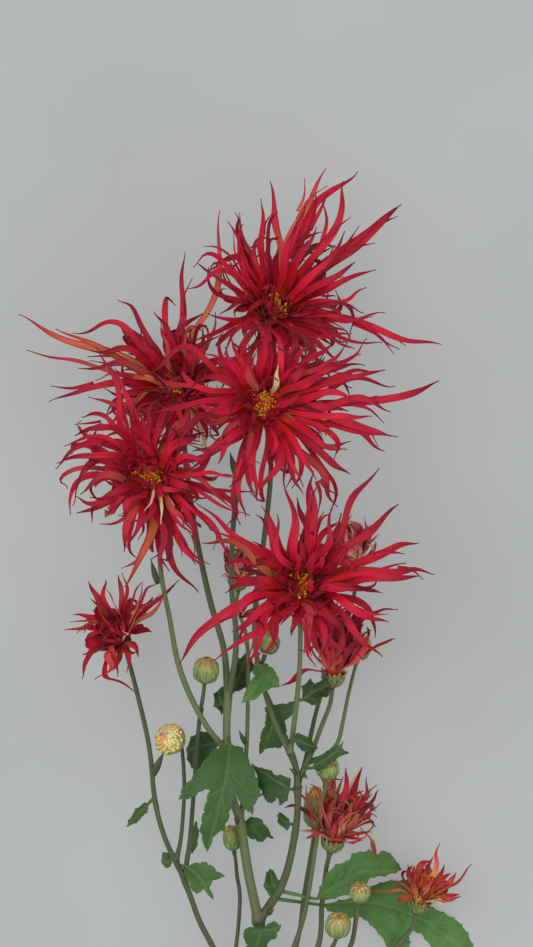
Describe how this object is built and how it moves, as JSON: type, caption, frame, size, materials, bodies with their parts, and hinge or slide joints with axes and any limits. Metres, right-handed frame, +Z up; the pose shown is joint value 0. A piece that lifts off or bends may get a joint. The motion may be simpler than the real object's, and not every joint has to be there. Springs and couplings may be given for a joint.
{
  "type": "saga chrysanthemum",
  "caption": "Cut branching chrysanthemum stem with spidery thread-petalled red blooms, half-open and wilted heads, round buds and lobed leaves, lying on a table.",
  "frame": {"origin": "centre of the object's box, on the table it lies on", "axes": "+Y along the stem from the cut end to the top bloom, +Z up from the table"},
  "size_m": [0.1908, 0.3994, 0.1069],
  "materials": {
    "stem": "fresh olive green stem, matte",
    "leaf": "soft matte green leaf with pale veins",
    "rays": "satin crimson petals, orange on the back",
    "orange_rays": "satin orange petals with pink tips",
    "wilted_rays": "dry dull pink and tan petals",
    "disc": "matte orange yellow tube florets",
    "calyx": "matte green bracts with pale edges",
    "bud": "matte striped green bud with a warm tip"
  },
  "bodies": {
    "root": {"calyx_behindFront": "calyx", "calyx_front": "calyx", "calyx_leftSmall": "calyx", "calyx_lowRight": "calyx", "calyx_lowerLeft": "calyx", "calyx_middle": "calyx", "calyx_rightSmall": "calyx", "calyx_top": "calyx", "calyx_upperLeft": "calyx", "calyx_wiltedLeft": "calyx", "calyx_wiltedRight": "calyx", "disc_front": "disc", "disc_leftSmall": "disc", "disc_lowRight": "disc", "disc_lowerLeft": "disc", "disc_middle": "disc", "disc_top": "disc", "disc_upperLeft": "disc", "halfOpenBud": "bud", "hangingBud": "bud", "leaf_belowMiddle": "leaf", "leaf_bigMiddle": "leaf", "leaf_broadUpright": "leaf", "leaf_darkBehind": "leaf", "leaf_darkShoulder": "leaf", "leaf_darkUnder": "leaf", "leaf_farLeft": "leaf", "leaf_hugeLower": "leaf", "leaf_hugeUpper": "leaf", "leaf_leftCluster": "leaf", "leaf_leftForked": "leaf", "leaf_lightFolded": "leaf", "leaf_lobedMiddle": "leaf", "leaf_lowForked": "leaf", "leaf_narrowLow": "leaf", "leaf_rightDark": "leaf", "leaf_smallAtFork": "leaf", "leaf_smallRight": "leaf", "leaf_twoPointed": "leaf", "leaf_uprightBlade": "leaf", "lowBud": "bud", "openingBud": "bud", "paleBud": "bud", "rays_behindFront": "rays", "rays_front": "rays", "rays_leftSmall": "rays", "rays_lowRight": "orange_rays", "rays_lowerLeft": "rays", "rays_middle": "rays", "rays_rightSmall": "rays", "rays_top": "rays", "rays_upperLeft": "rays", "rays_wiltedLeft": "wilted_rays", "rays_wiltedRight": "wilted_rays", "roundBud": "bud", "sideBud": "bud", "stem": "stem", "stripedBud": "bud", "yellowBud": "bud"}
  },
  "joints": []
}
